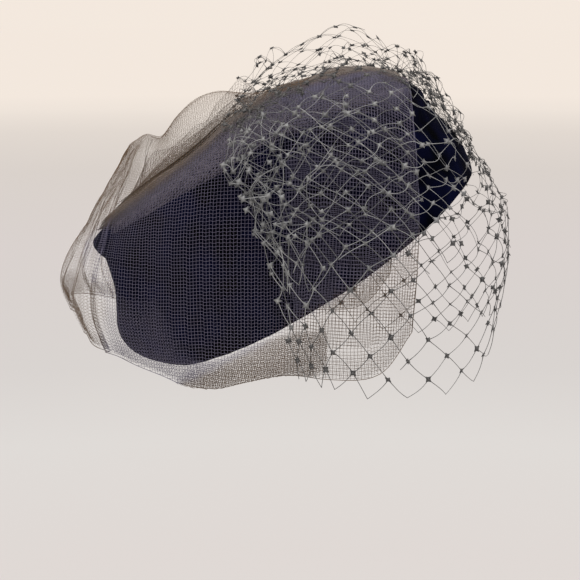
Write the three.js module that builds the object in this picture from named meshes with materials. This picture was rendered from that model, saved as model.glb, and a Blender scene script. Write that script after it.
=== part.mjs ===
// A felt cocktail hat worn tilted back: an oval crown inside a turned-up cuff, with a fine tulle veil over
// its sides and back and a coarse diamond net over its top and front. Millimetres, +Z up, +X to the
// wearer's front, +Y to the wearer's left, origin at the centre of the head opening.
import * as THREE from "three";

// Driving dimensions, in millimetres and degrees
const HAT_TILT = 31.5; // the front of the head opening is raised by this angle
const FELT_WALL = 2.2;
const CUFF_GAP = 1.2; // between the crown and the cuff along the rim
const CUFF_BULGE_START = 0.8; // under 1, the cuff's bulge sits below the middle of its height
const CUFF_STRAIGHT = 76; // above this height the cuff stands straight up beside the crown's shoulder
const OVAL_POWER = 2.15; // 2 gives an ellipse, more gives a squarer oval
const TULLE_WALL = 1.0;
const NET_WALL = 1.2;
const NET_OPEN = 0.84; // size of each gap in the net, as a share of its cell

// Facets
const HAT_SIDES = 44;
const CUFF_RINGS = 7;
const TULLE_SECTIONS = 27; // from the front edge to the centre back, on each side
const TULLE_STEPS = 12; // from the ridge to the hem
const NET_CELL_COLUMNS = 6; // whole cells from the back edge to the centre front, on each side
const NET_CELL_ROWS = 5; // whole cells from the ridge to the hem

// The crown's level sections and its highest point, in the hat's own upright frame
const CROWN_SECTIONS = table(["height", "front", "back", "side"], [
  [0, 98, 98, 77],
  [30, 97, 97.5, 76.5],
  [49, 94.5, 97.5, 76.3],
  [54, 97.5, 97.6, 76.3],
  [60, 99, 97.8, 76.3],
  [66, 97, 98.7, 76.3],
  [73, 91.5, 101, 76],
  [79, 85.5, 103, 74.5],
  [85, 77, 102, 70],
  [89, 69.5, 90, 63],
  [92.5, 61, 60, 54],
  [96, 48, 28, 40],
  [99, 35, 9, 24],
]);
const CROWN_TOP = new THREE.Vector3(14, 0, 101);

// The cuff's free edge and its bulge, from the centre front at 0 degrees to the centre back at 180
const CUFF_SECTIONS = table(["angle", "edge", "bulge"], [
  [0, 50, 2.5],
  [18, 56, 3],
  [40, 71, 4],
  [65, 80, 4],
  [90, 83, 4.5],
  [120, 85, 5.5],
  [145, 82, 8.5],
  [158, 73, 13],
  [168, 63, 16],
  [180, 58, 18],
]);

// Bends of the rim, up towards its front and its back: where each starts and ends along X, and its rise
const RIM_BENDS = table(["start", "end", "rise"], [
  [10, 98, 9],
  [-35, -98, 4],
]);
const BEND_POWER = 1.5; // over 1, a bend starts gently
const BEND_HEIGHT = 60; // the bends fade out up to this height

// Sections of one half of each veil as it is worn. Each has its point on the ridge, over the middle of the
// hat, and four points on the way down to the hem, as x, y, z.
const VEIL_COLUMNS = ["ridge", "crest", "shoulder", "waist", "hem"];
const TULLE_HALF = table(VEIL_COLUMNS, [
  [[44, 0, 110.8], [44, -27, 107], [44, -57, 90], [46, -76, 40], [43, -83, -16]],
  [[26, 0, 115], [26, -37, 111.5], [26, -64, 97], [28, -84, 40], [29, -88, -35]],
  [[0, 0, 113], [0, -59, 103.5], [0, -76, 89.5], [0, -90.5, 30], [0, -91, -40]],
  [[-20, 0, 107.5], [-20, -62, 96.5], [-20, -82, 81.5], [-20, -92, 20], [-20, -92, -37]],
  [[-40, 0, 102], [-40, -61, 86.5], [-40, -84, 71], [-40, -93, 10], [-40, -92, -39]],
  [[-60, 0, 103], [-60, -50, 85], [-60, -83, 62], [-60, -92, 6], [-60, -92, -44]],
  [[-73, 0, 99], [-73, -44, 82], [-75, -80.5, 55], [-76, -91, 2], [-75, -90, -43]],
  [[-84, 0, 89], [-86, -42, 74], [-90, -76.5, 47], [-92, -87, -3], [-89, -86, -39]],
  [[-92, 0, 78], [-96, -40, 66], [-103, -70, 38], [-106, -80, -6], [-101, -79, -35]],
  [[-101, 0, 79], [-107, -34, 62], [-117, -58, 30], [-121, -68, -8], [-114, -67, -31]],
  [[-108, 0, 75], [-115, -24, 55], [-129, -40, 24], [-136, -50, -6], [-130, -50, -24]],
  [[-112, 0, 70], [-119, 0, 58], [-137, 0, 28], [-151, 0, 0], [-147, 0, -14]],
]);
const NET_HALF = table(VEIL_COLUMNS, [
  [[-53, 0, 105], [-53, -44, 95], [-54, -86, 72], [-33, -96.2, 24], [-16, -95, -38]],
  [[-20, 0, 126], [-18, -46, 113], [-14, -86, 88], [0, -95, 20], [6, -95, -46]],
  [[10, 0, 140], [14, -46, 123], [20, -76, 99], [30, -91, 20], [30, -92, -52]],
  [[30, 0, 127], [38, -40, 118], [48, -67, 89], [56, -84, 16], [52, -84, -56]],
  [[41, 0, 123], [54, -28, 109], [70, -50, 79], [80, -63, 14], [76, -63, -52]],
  [[46, 0, 120], [62, -14, 104], [83, -26, 73], [97, -34, 16], [90, -36, -36]],
  [[49, 0, 118], [66, 0, 102], [87, 0, 70], [103, 0, 22], [94, 0, -26]],
]);

// Upright folds in the tulle, each at a distance round from the centre back
const TULLE_FOLDS = table(["place", "width", "depth"], [
  [34, 20, -6],
  [66, 20, 5],
  [108, 26, -4],
  [160, 30, 3],
  [205, 26, -3],
]);
const FOLD_START = 0.3; // the folds begin here on the way down from ridge to hem
const FOLD_FULL = 0.8; // and have their full depth from here
const TULLE_MIDDLE = -40; // the folds push out from an upright line this far along X

// Finishes
const NAVY_FELT = new THREE.MeshStandardMaterial({ color: 0x0b1230, roughness: 0.95, metalness: 0 });
const GREY_TULLE = new THREE.MeshStandardMaterial({ color: 0x4b4852, roughness: 0.7, metalness: 0 });
const NAVY_NET = new THREE.MeshStandardMaterial({ color: 0x22263a, roughness: 0.6, metalness: 0 });

// Rows with their values named by column
function table(columns, rows) {
  return rows.map((row) => Object.fromEntries(columns.map((name, column) => [name, row[column]])));
}

// Reads a table's other columns at any value of its first column
function tableReader(rows, Interpolant) {
  const [placeName, ...names] = Object.keys(rows[0]);
  const places = rows.map((row) => row[placeName]);
  const values = rows.flatMap((row) => names.map((name) => row[name]));
  const curve = new Interpolant(places, values, names.length);
  return (place) => {
    const found = curve.evaluate(place);
    return Object.fromEntries(names.map((name, column) => [name, found[column]]));
  };
}

// A closed wall: the faces, the same faces set in by the wall, and a strip along every open edge
function thicken(points, faces, wall) {
  const outside = new THREE.BufferGeometry().setFromPoints(points);
  outside.setIndex(faces.flat());
  outside.computeVertexNormals();
  const normals = outside.getAttribute("normal");
  const inside = points.map((point, index) => {
    const normal = new THREE.Vector3().fromBufferAttribute(normals, index);
    return point.clone().addScaledVector(normal, -wall);
  });
  const shift = points.length;
  const triangles = [];
  const openEdges = new Map();
  for (const [a, b, c] of faces) {
    triangles.push(a, b, c, c + shift, b + shift, a + shift);
    for (const [from, to] of [[a, b], [b, c], [c, a]]) {
      if (!openEdges.delete(`${to} ${from}`)) openEdges.set(`${from} ${to}`, [from, to]);
    }
  }
  for (const [from, to] of openEdges.values()) {
    triangles.push(to, from, from + shift, to, from + shift, to + shift);
  }
  const solid = new THREE.BufferGeometry().setFromPoints([...points, ...inside]);
  solid.setIndex(triangles);
  return solid.toNonIndexed();
}

// The two triangles of a face with four corners
function quad(a, b, c, d) {
  return [[a, b, c], [a, c, d]];
}

// Faces between neighbouring rings of points, each ring closed on itself
function ringFaces(ringCount) {
  const faces = [];
  for (let ring = 0; ring + 1 < ringCount; ring++) {
    for (let side = 0; side < HAT_SIDES; side++) {
      const next = (side + 1) % HAT_SIDES;
      const low = ring * HAT_SIDES;
      const high = low + HAT_SIDES;
      faces.push(...quad(low + side, low + next, high + next, high + side));
    }
  }
  return faces;
}

// A point of an oval with its own reach to the front, the back and the side, all grown by one distance
function ovalPoint(angle, reach, grow, height) {
  const rounded = (value) => Math.sign(value) * Math.abs(value) ** (2 / OVAL_POWER);
  const along = rounded(Math.cos(angle));
  const across = rounded(Math.sin(angle));
  const length = along > 0 ? reach.front : reach.back;
  return new THREE.Vector3((length + grow) * along, (reach.side + grow) * across, height);
}

// Moves a point of the hat up with the bends of the rim
function bendRim(point) {
  const fade = Math.max(0, 1 - point.z / BEND_HEIGHT);
  for (const { start, end, rise } of RIM_BENDS) {
    const share = Math.max(0, (point.x - start) / (end - start));
    point.z += rise * fade * share ** BEND_POWER;
  }
  return point;
}

function sideAngle(side) {
  return (2 * Math.PI * side) / HAT_SIDES;
}

function crownGeometry() {
  const points = [];
  for (const section of CROWN_SECTIONS) {
    for (let side = 0; side < HAT_SIDES; side++) {
      points.push(bendRim(ovalPoint(sideAngle(side), section, 0, section.height)));
    }
  }
  const faces = ringFaces(CROWN_SECTIONS.length);
  const top = points.push(CROWN_TOP) - 1;
  const lastRing = top - HAT_SIDES;
  for (let side = 0; side < HAT_SIDES; side++) {
    faces.push([lastRing + side, lastRing + ((side + 1) % HAT_SIDES), top]);
  }
  return thicken(points, faces, FELT_WALL);
}

function cuffGeometry() {
  const crownAt = tableReader(CROWN_SECTIONS, THREE.LinearInterpolant);
  const cuffAt = tableReader(CUFF_SECTIONS, THREE.CubicInterpolant);
  const points = [];
  for (let ring = 0; ring <= CUFF_RINGS; ring++) {
    const share = ring / CUFF_RINGS;
    const swell = Math.sin(Math.PI * share ** CUFF_BULGE_START);
    for (let side = 0; side < HAT_SIDES; side++) {
      const angle = sideAngle(side);
      const fromFront = Math.acos(Math.cos(angle));
      const { edge, bulge } = cuffAt(THREE.MathUtils.radToDeg(fromFront));
      const height = share * edge;
      const reach = crownAt(Math.min(height, CUFF_STRAIGHT));
      points.push(bendRim(ovalPoint(angle, reach, CUFF_GAP + FELT_WALL + bulge * swell, height)));
    }
  }
  return thicken(points, ringFaces(CUFF_RINGS + 1), FELT_WALL);
}

// A smooth half veil through its sections. A place round it runs in millimetres at the waist.
function loft(sections) {
  const places = [0];
  for (let row = 1; row < sections.length; row++) {
    const from = new THREE.Vector3(...sections[row - 1].waist);
    const to = new THREE.Vector3(...sections[row].waist);
    places.push(places[row - 1] + from.distanceTo(to));
  }
  const rails = VEIL_COLUMNS.map((name) => {
    const values = sections.flatMap((section) => section[name]);
    return new THREE.CubicInterpolant(places, values, 3);
  });
  const sectionAt = (place) => {
    const points = rails.map((rail) => new THREE.Vector3(...rail.evaluate(place)));
    return new THREE.CatmullRomCurve3(points, false, "centripetal");
  };
  return { width: places.at(-1), sectionAt };
}

// How far the tulle's folds push it out at a distance round from the centre back
function foldDepth(fromBack) {
  let total = 0;
  for (const { place, width, depth } of TULLE_FOLDS) {
    total += depth * Math.exp(-(((fromBack - place) / (width / 2)) ** 2));
  }
  return total;
}

// Adds the other half of a veil, sharing the points that lie on the middle plane
function mirrorHalf(points, faces) {
  const twins = points.map((point, index) => {
    if (point.y === 0) return index;
    return points.push(new THREE.Vector3(point.x, -point.y, point.z)) - 1;
  });
  for (const [a, b, c] of [...faces]) faces.push([twins[c], twins[b], twins[a]]);
}

function tulleGeometry() {
  const veil = loft(TULLE_HALF);
  const points = [];
  const faces = [];
  for (let section = 0; section <= TULLE_SECTIONS; section++) {
    const place = (veil.width * section) / TULLE_SECTIONS;
    const curve = veil.sectionAt(place);
    const push = foldDepth(veil.width - place);
    for (let step = 0; step <= TULLE_STEPS; step++) {
      const down = step / TULLE_STEPS;
      const point = curve.getPointAt(down);
      const outward = new THREE.Vector3(point.x - TULLE_MIDDLE, point.y, 0).normalize();
      point.addScaledVector(outward, push * THREE.MathUtils.smoothstep(down, FOLD_START, FOLD_FULL));
      if (step === 0 || section === TULLE_SECTIONS) point.y = 0;
      points.push(point);
    }
  }
  const stride = TULLE_STEPS + 1;
  for (let section = 0; section < TULLE_SECTIONS; section++) {
    for (let step = 0; step < TULLE_STEPS; step++) {
      const here = section * stride + step;
      const next = here + stride;
      faces.push(...quad(here, next, next + 1, here + 1));
    }
  }
  mirrorHalf(points, faces);
  return thicken(points, faces, TULLE_WALL);
}

// The net's cells are diamonds on a grid of half columns and half rows, counted from one back edge round
// the front to the other. Each cell is a frame of four bars round an open middle, and neighbouring cells
// share the corners where their bars cross.
function netGeometry() {
  const veil = loft(NET_HALF);
  const points = [];
  const faces = [];
  const cornerIndex = new Map();
  const frontColumn = 2 * NET_CELL_COLUMNS;
  const hemRow = 2 * NET_CELL_ROWS;
  const twin = (column) => 2 * frontColumn - column;
  const pointAt = (column, row) => {
    const onFarSide = column > frontColumn;
    const nearColumn = onFarSide ? twin(column) : column;
    const curve = veil.sectionAt((veil.width * nearColumn) / frontColumn);
    const point = curve.getPointAt(row / hemRow);
    if (onFarSide) point.y = -point.y;
    return point;
  };
  const corner = (column, row) => {
    const sharedColumn = row === 0 ? Math.min(column, twin(column)) : column;
    const key = `${sharedColumn} ${row}`;
    if (!cornerIndex.has(key)) cornerIndex.set(key, points.push(pointAt(sharedColumn, row)) - 1);
    return cornerIndex.get(key);
  };
  const addCell = (middle, corners) => {
    const gap = corners.map((index) => points.push(points[index].clone().lerp(middle, 1 - NET_OPEN)) - 1);
    for (let bar = 0; bar < 4; bar++) {
      const next = (bar + 1) % 4;
      faces.push(...quad(corners[bar], corners[next], gap[next], gap[bar]));
    }
  };
  for (let column = 1; column < 2 * frontColumn; column++) {
    for (let row = 1; row < hemRow; row++) {
      if ((column + row) % 2 === 0) continue;
      const above = corner(column, row - 1);
      const below = corner(column, row + 1);
      addCell(pointAt(column, row), [above, corner(column - 1, row), below, corner(column + 1, row)]);
    }
  }
  for (let column = 1; column < frontColumn; column += 2) {
    const across = corner(twin(column), 1);
    const below = corner(column, 1);
    addCell(pointAt(column, 0), [across, corner(column - 1, 0), below, corner(column + 1, 0)]);
  }
  return thicken(points, faces, NET_WALL);
}

function piece(name, geometry, material) {
  geometry.computeVertexNormals();
  const mesh = new THREE.Mesh(geometry, material);
  mesh.name = name;
  return mesh;
}

const hat = new THREE.Group();
hat.rotation.y = THREE.MathUtils.degToRad(-HAT_TILT);
hat.add(piece("crown", crownGeometry(), NAVY_FELT));
hat.add(piece("cuff", cuffGeometry(), NAVY_FELT));

const fascinator = new THREE.Group();
fascinator.add(hat);
fascinator.add(piece("tulle_veil", tulleGeometry(), GREY_TULLE));
fascinator.add(piece("birdcage_veil", netGeometry(), NAVY_NET));

export default fascinator;
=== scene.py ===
"""The fascinator's looks: felt crown and cuff, tulle veil woven thread by thread, and knotted net veil."""
import math

import bpy
import numpy as np
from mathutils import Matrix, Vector
from mathutils.bvhtree import BVHTree


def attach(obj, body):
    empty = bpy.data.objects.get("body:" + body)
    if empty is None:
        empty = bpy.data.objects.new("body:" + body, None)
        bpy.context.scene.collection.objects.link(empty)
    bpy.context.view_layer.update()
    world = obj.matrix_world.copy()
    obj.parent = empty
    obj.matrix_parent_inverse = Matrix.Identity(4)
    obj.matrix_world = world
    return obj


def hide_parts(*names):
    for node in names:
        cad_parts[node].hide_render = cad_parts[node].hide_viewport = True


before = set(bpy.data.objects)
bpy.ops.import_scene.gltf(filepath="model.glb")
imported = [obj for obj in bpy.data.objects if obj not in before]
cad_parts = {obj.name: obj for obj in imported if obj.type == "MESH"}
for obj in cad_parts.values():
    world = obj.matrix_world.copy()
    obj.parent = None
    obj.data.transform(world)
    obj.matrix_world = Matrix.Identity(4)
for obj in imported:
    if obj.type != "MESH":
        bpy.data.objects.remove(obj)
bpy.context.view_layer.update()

# Sizes here are in millimetres and degrees. Meshes are scaled to metres when they are made.
MM = 0.001
SEED = 7

# Camera
PHOTO_SIDE = 580  # pixels
SENSOR = 36.0
CAMERA_ELEVATION = 11.0
CAMERA_DISTANCE = 800.0
CAMERA_TARGET = (-20.4, 0.0, -10.1)
PIXELS_PER_RADIAN = 1394.0  # the focal length, in pixels of the photograph

# The felt hat
HAT_TILT = 31.5
FELT_WALL = 2.2
CUFF_GAP = 1.2
CUFF_BULGE_START = 0.8
CUFF_STRAIGHT = 76.0
OVAL_POWER = 2.15
HAT_SIDES = 180
HAT_ANGLES = math.tau * np.arange(HAT_SIDES) / HAT_SIDES
FELT_STEP = 1.8  # spacing of the felt's rings
EDGE_STEPS = 6  # rings round each rolled edge
FELT_WAVE = 0.25  # height of the felt's uneven, hand-blocked surface

# height, front, back, side
CROWN_SECTIONS = np.array([
    [0, 98, 98, 77],
    [30, 97, 97.5, 76.5],
    [49, 94.5, 97.5, 76.3],
    [54, 97.5, 97.6, 76.3],
    [60, 99, 97.8, 76.3],
    [66, 97, 98.7, 76.3],
    [73, 91.5, 101, 76],
    [79, 85.5, 103, 74.5],
    [85, 77, 102, 70],
    [89, 69.5, 90, 63],
    [92.5, 61, 60, 54],
    [96, 48, 28, 40],
    [99, 35, 9, 24],
])
CROWN_TOP = np.array([14.0, 0.0, 101.0])

# angle from the centre front, height of the free edge, bulge
CUFF_SECTIONS = np.array([
    [0, 50, 2.5],
    [18, 56, 3],
    [40, 71, 4],
    [65, 80, 4],
    [90, 83, 4.5],
    [120, 85, 5.5],
    [145, 82, 8.5],
    [158, 73, 13],
    [168, 63, 16],
    [180, 58, 18],
])

# Bends of the rim, up towards its front and its back: start and end along X, and rise
RIM_BENDS = np.array([[10, 98, 9], [-35, -98, 4]])
BEND_POWER = 1.5
BEND_HEIGHT = 60.0

# Sections of one half of each veil: its points on the ridge, crest, shoulder, waist and hem, as x, y, z
WAIST = 3
VEIL_INSIDE = np.array([-20.0, 0.0, 20.0])  # a place inside both veils
TULLE_HALF = np.array([
    [[44, 0, 110.8], [44, -27, 107], [44, -57, 90], [46, -76, 40], [43, -83, -16]],
    [[26, 0, 115], [26, -37, 111.5], [26, -64, 97], [28, -84, 40], [29, -88, -35]],
    [[0, 0, 113], [0, -59, 103.5], [0, -76, 89.5], [0, -90.5, 30], [0, -91, -40]],
    [[-20, 0, 107.5], [-20, -62, 96.5], [-20, -82, 81.5], [-20, -92, 20], [-20, -92, -37]],
    [[-40, 0, 102], [-40, -61, 86.5], [-40, -84, 71], [-40, -93, 10], [-40, -92, -39]],
    [[-60, 0, 103], [-60, -50, 85], [-60, -83, 62], [-60, -92, 6], [-60, -92, -44]],
    [[-73, 0, 99], [-73, -44, 82], [-75, -80.5, 55], [-76, -91, 2], [-75, -90, -43]],
    [[-84, 0, 89], [-86, -42, 74], [-90, -76.5, 47], [-92, -87, -3], [-89, -86, -39]],
    [[-92, 0, 78], [-96, -40, 66], [-103, -70, 38], [-106, -80, -6], [-101, -79, -35]],
    [[-101, 0, 79], [-107, -34, 62], [-117, -58, 30], [-121, -68, -8], [-114, -67, -31]],
    [[-108, 0, 75], [-115, -24, 55], [-129, -40, 24], [-136, -50, -6], [-130, -50, -24]],
    [[-112, 0, 70], [-119, 0, 58], [-137, 0, 28], [-151, 0, 0], [-147, 0, -14]],
], float)
NET_HALF = np.array([
    [[-53, 0, 105], [-53, -44, 95], [-54, -86, 72], [-33, -96.2, 24], [-16, -95, -38]],
    [[-20, 0, 126], [-18, -46, 113], [-14, -86, 88], [0, -95, 20], [6, -95, -46]],
    [[10, 0, 140], [14, -46, 123], [20, -76, 99], [30, -91, 20], [30, -92, -52]],
    [[30, 0, 127], [38, -40, 118], [48, -67, 89], [56, -84, 16], [52, -84, -56]],
    [[41, 0, 123], [54, -28, 109], [70, -50, 79], [80, -63, 14], [76, -63, -52]],
    [[46, 0, 120], [62, -14, 104], [83, -26, 73], [97, -34, 16], [90, -36, -36]],
    [[49, 0, 118], [66, 0, 102], [87, 0, 70], [103, 0, 22], [94, 0, -26]],
], float)

# Upright folds in the tulle: place round from the centre back, width, depth
TULLE_FOLDS = np.array([
    [34, 20, -4],
    [66, 20, 4],
    [108, 26, -3],
    [160, 30, 3],
    [205, 26, -3],
])
FOLD_START = 0.3
FOLD_FULL = 0.8
TULLE_MIDDLE = -40.0

# Sharp pleats where the tulle doubles back on itself: place round from the centre back, width, overlap,
# and the shares of the way down where the pleat starts and is full
TULLE_PLEATS = np.array([
    [22, 1.8, 1.6, 0.3, 0.6],
    [50, 1.5, 1.0, 0.35, 0.7],
    [74, 2.2, 2.6, 0.1, 0.4],
])
PLEAT_LIFT = 1.0
PLEAT_SHIFT = 7.0  # how much further round the far side's pleats are
CREASE_SWAY = 1.5
CREASE_WAVE = 19.0

# Tulle threads
TULLE_PITCH = 1.75
TULLE_CLOSE = 1.0  # pitch of the finer tulle that is turned under
TULLE_THREAD = 0.21  # thickness over the sides
TULLE_FINE = 0.088  # thickness where the cloth is thin, at the back and in the puffs
GATHER_THREAD = 0.18  # thickness over the top of the crown
TULLE_HEM = 0.4  # thickness of its doubled edge
TULLE_CREASE = 0.2  # thickness of the threads pressed together along a pleat
COARSE_ROUND = (60, 110)  # distance from the centre back over which the threads turn thick
COARSE_DOWN = (0.2, 0.4)  # and the share of the way down
COARSE_FRONT = 90  # nearer the front than this, they turn thick higher up
COARSE_HIGHER = 0.25  # by this share of the way
TULLE_STREAK = 0.07  # how much the colour varies from thread to thread
TULLE_SIDES = 3
TULLE_LEVEL = 20.0  # below this height the level threads keep their pitch exactly
TULLE_STRAY = 0.4  # how far threads stray from a true square mesh
TULLE_RIPPLE = 0.4  # height of the cloth's small ripples
THREAD_STEP = 1.0  # spacing at which threads are first laid out
THREAD_BEND = math.radians(15)  # a thread keeps a point for each such bend
THREAD_REACH = 10.0  # and at least one for each such length

# The felt seen from its side, which the threads' colour follows as painted light, lighter over the felt, and
# from above, under the gathered tulle
RIM_DEPTH = 35.0  # how far above the rim the felt's lower edge is taken to reach
# Painted light: the drop and the gain move where the tulle is painted lighter, as lying over the felt
RIM_DROP = 4.5  # how strongly the tulle's colour leaves that edge out
TOP_DEPTH = 60.0  # how far above the rim its top edge starts
TOP_GAIN = 3.0  # how strongly the tulle's colour takes in what lies along it
SIDE_VIEW = ((-170.0, -90.0), (130.0, 170.0))  # corners in X and Z of the felt seen from its side
TOP_VIEW = ((-140.0, -90.0), (64.0, 90.0))  # and in X and Y of its top
RAY_START = 300.0
TOP_LOWEST = 18.0  # the gathered tulle ends at this height at the back
TOP_STEEPEST = 1.5  # and where the crown's top is as steep as this

# Tulle turned under: lift off the outer layer, thickness in parts of TULLE_FINE, width of the soft edge,
# lowest share of the way down, and whether it follows the pleats
UNDER_STRIP = (-0.8, 1.3, 6, 0.995, True)
UNDER_MIDDLE = (1.2, 2.3, 6, 1.0, False)
UNDER_CORNER = (-0.5, 1.8, 16, 0.99, True)
UNDER_FRONT_LIFT = 0.7
UNDER_EDGE = 0.25  # share of its thickness that a thread keeps at a layer's edge

# Layers of gathered tulle: turn of the weave, rise, height of the roll, how far inside the top it ends
GATHER_LAYERS = [(4, 1.0, 0, 0.5), (27, 1.8, 8, 0.62), (-33, 2.6, 12, 0.74), (14, 3.2, 17, 0.86)]
GATHER_AREA = ((-132, -72), (42, 72))
GATHER_FRONT = 40
GATHER_RIPPLE = 0.7
GATHER_STREAK = 0.15
ROLL_MIDDLE = 14.0  # distance to the side of the roll of gathered tulle
ROLL_SWAY = 5
ROLL_WIDTH = 13
ROLL_START = (-122, -95)
ROLL_END = (-52, -30)

# The dark crease in the gathered tulle, painted shade laid as dark threads where shadow falls: place along X,
# and distance to the side
FOLD_LINE = np.array([[-119, 1], [-105, -6], [-88, -11], [-70, -12], [-52, -9], [-40, -6]])
FOLD_RISE = (3.6, 6.4)
FOLD_THREADS = 26
FOLD_THREAD = 0.3
FOLD_STEP = 1.5
FOLD_SPREAD = 0.7
FOLD_SWAY = 0.6
FOLD_SHORTER = (14, 26)  # a thread stops short by fewer steps than these at its ends
FOLD_STREAK = 0.1

# Net
NET_COLUMNS = np.array([0, 7, 16, 30, 52, 76, 100, 124, 148, 170, 191])  # places of cells round the waist
NET_ROWS = 24  # half cells from ridge to hem
# rows, and share of the way down to them
NET_GATHERS = np.array([[0, 0], [4, 0.22], [16, 0.62], [NET_ROWS, 1]])
NET_CORNER = 11.0  # how far the ridge's back end is drawn in
NET_CORNER_DOWN = 0.25  # share of the way down at which that ends
NET_EDGE = 15.8  # length of a strand between two knots
NET_STRAND = 0.25
NET_THIN = 0.08  # how much thinner the strands of the puff are
NET_HANGING = 0.08  # extra thickness of the strands that hang free
NET_FLARE = 0.34  # extra thickness of a strand where it enters a knot
FLARE_REACH = 1.5
NET_SIDES = 4
NET_STEPS = 8
NET_BOW = 0.34  # most that gathered strands bow, as a share of their span
NET_SAG = 0.09  # most that the strands below the waist bow
NET_BROKEN = 0.03  # share of strands that are broken off
KNOT_SIZE = 3.3
KNOT_DEPTH = 1.0
KNOT_RIM = 8  # points round a knot
NET_SHIFT = 2.6  # how far neighbouring knots stray together
NET_SCATTER = 3.0  # and each by itself
NET_RISE = 1.2  # how far they rise off the veil
NET_FIRM = 0.45  # least share of that straying, at the hem
NET_DOWN = 210.0  # usual length from ridge to hem
NET_JUMBLE = 5.0  # how unevenly the puff's ridge rises
NET_PUFF = 0.35  # share of the way down at which that ends
NET_SINK = 0.45  # share of the way down at which a layer no longer sinks
NET_STREAK = (0, 0.34)  # how the colour varies from strand to strand
KNOT_STREAK = (0.1, 0.33)  # and from knot to knot
KNOT_REACH = (0.34, 0.62)  # reach of a knot's hollows and corners, as shares of its size
NET_DENT = 6.0  # how far the net is drawn in towards the hat's front edge
DENT_ROUND = (0.55, 0.85)  # shares of the way round over which that starts
DENT_DOWN = 0.3  # share of the way down, and its spread
DENT_SPREAD = 0.17
NET_CLEARANCE = np.array([2, 18, 26, 13, 11, 9, 8])  # room under the net's ridge, at each of its sections

# Layers of the net: columns, first and last row, share of its room it sinks, crumpling, lift off the veil
NET_BETWEEN = np.concatenate([[4], (NET_COLUMNS[1:-1] + NET_COLUMNS[2:]) / 2])
NET_LAYERS = [
    (NET_COLUMNS, (0, NET_ROWS), 0.0, 1.0, -0.5),
    (NET_BETWEEN[:6], (4, 18), 0.0, 1.3, -1.0),
    (np.array([0, 7, 16, 30, 43, 67]), (6, 13), 0.0, 1.6, -0.6),
    (NET_BETWEEN[:7] + 3.0, (9, 17), 0.0, 1.5, -0.8),
    (np.arange(0, 192, 15), (1, 5), 0.9, 1.3, -1.0),
    (np.array([2, 8, 15, 24]), (12, 19), 0.0, 1.4, -0.3),
]

# The felt's colours, sheen and texture, with lengths in metres
FELT_SHEEN = {"Sheen Weight": 0.004, "Sheen Roughness": 0.5, "Sheen Tint": (0.2, 0.35, 0.8, 1)}
FELT_COLOURS = [(0.35, (0.0002, 0.0003, 0.0009)), (0.72, (0.0015, 0.0022, 0.016))]
FELT_MOTTLE = {"Scale": 55, "Detail": 6}
FELT_FIBRE = {"Scale": 1400, "Detail": 4}
FELT_BUMP = {"Strength": 0.6, "Distance": 0.0004}

# Colours of the threads, with painted light: share of the way clear of the felt, and colour. Over the felt
# the threads are painted lighter, as painted light; the tulle's brown clear of the felt is its own colour
TULLE_COLOURS_AND_PAINTED_LIGHT = [(0.0, (0.152, 0.144, 0.216)), (1.0, (0.122, 0.076, 0.04))]
# Painted light and shade: the gathered tulle is painted light lilac grey over the felt, as lit from above,
# dark across the felt's outline as painted shade in the crease, and light brown clear of it
GATHER_COLOURS_AND_PAINTED_LIGHT = [
    (0.0, (0.185, 0.166, 0.204)),
    (0.25, (0.07, 0.063, 0.079)),
    (0.75, (0.08, 0.067, 0.06)),
    (1.0, (0.2, 0.17, 0.152)),
]
# Painted shade: the threads along the roll's feet are painted near black where shadow falls in the creases
FOLD_SHADE_COLOURS = [(0.0, (0.034, 0.03, 0.033)), (1.0, (0.04, 0.034, 0.03))]
# Painted highlight: the net's dark strands and knots are painted light grey where they lie over the felt, as
# if catching the light there
NET_COLOURS_AND_PAINTED_HIGHLIGHT = [(0.0, (0.32, 0.332, 0.34)), (0.3, (0.1, 0.104, 0.11)), (0.6, (0.065, 0.066, 0.068))]

# Roughness and specular level
FELT_FINISH = (0.95, 0.02)
FLOOR_FINISH = (0.9, 0.0)
TULLE_FINISH = (0.5, 0.15)
GATHER_FINISH = (0.5, 0.4)
FOLD_FINISH = (0.6, 0.2)
NET_FINISH = (0.45, 0.5)

# Room and floor, in metres
ROOM_COLOUR = (0.9, 0.81, 0.73)
FLOOR_HEIGHT = -0.8
FLOOR_REACH = 120.0
FLOOR_SIDES = 64
FLOOR_FADE = 17.0  # distance at which the floor is as bright as the room
# Painted light and shade: the floor's colour by nearness to the hat, darker near it and lighter far off,
# standing in for how the room's light falls across the backdrop
FLOOR_PAINTED_LIGHT_COLOURS = [
    (0.0, (0.997, 0.997, 0.997)),
    (0.16, (0.95, 0.955, 0.96)),
    (0.34, (0.84, 0.85, 0.865)),
    (0.52, (0.775, 0.79, 0.818)),
    (0.706, (0.765, 0.782, 0.835)),
    (0.824, (0.738, 0.772, 0.82)),
    (0.865, (0.765, 0.805, 0.85)),
    (0.906, (0.73, 0.745, 0.78)),
    (0.976, (0.68, 0.69, 0.72)),
]

# Lamps: name, place, size, power, colour
LAMPS = [
    ("key", (0.15, -0.5, 1.5), 0.9, 16, (0.97, 0.98, 1.0)),
    ("fill", (-1.2, -1.2, 0.5), 1.4, 3, (0.95, 0.97, 1.0)),
]

rng = np.random.default_rng(SEED)


def wave_field(count, shortest, longest):
    """Smooth seeded noise over a surface, mostly between -1 and 1."""
    length = rng.uniform(shortest, longest, count)
    turn = rng.uniform(0, math.tau, count)
    phase = rng.uniform(0, math.tau, count)

    def at(u, v):
        total = 0.0
        for k in range(count):
            along = u * math.cos(turn[k]) + v * math.sin(turn[k])
            total = total + np.sin(math.tau * along / length[k] + phase[k])
        return total / math.sqrt(count)
    return at


def smoothstep(value, low, high):
    t = np.clip((value - low) / (high - low), 0, 1)
    return t * t * (3 - 2 * t)


def unit(vectors):
    return vectors / np.maximum(np.linalg.norm(vectors, axis=-1, keepdims=True), 1e-12)


def chord_places(points):
    """Running distance along a row of points."""
    return np.concatenate([[0], np.cumsum(np.linalg.norm(np.diff(points, axis=0), axis=-1))])


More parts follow.
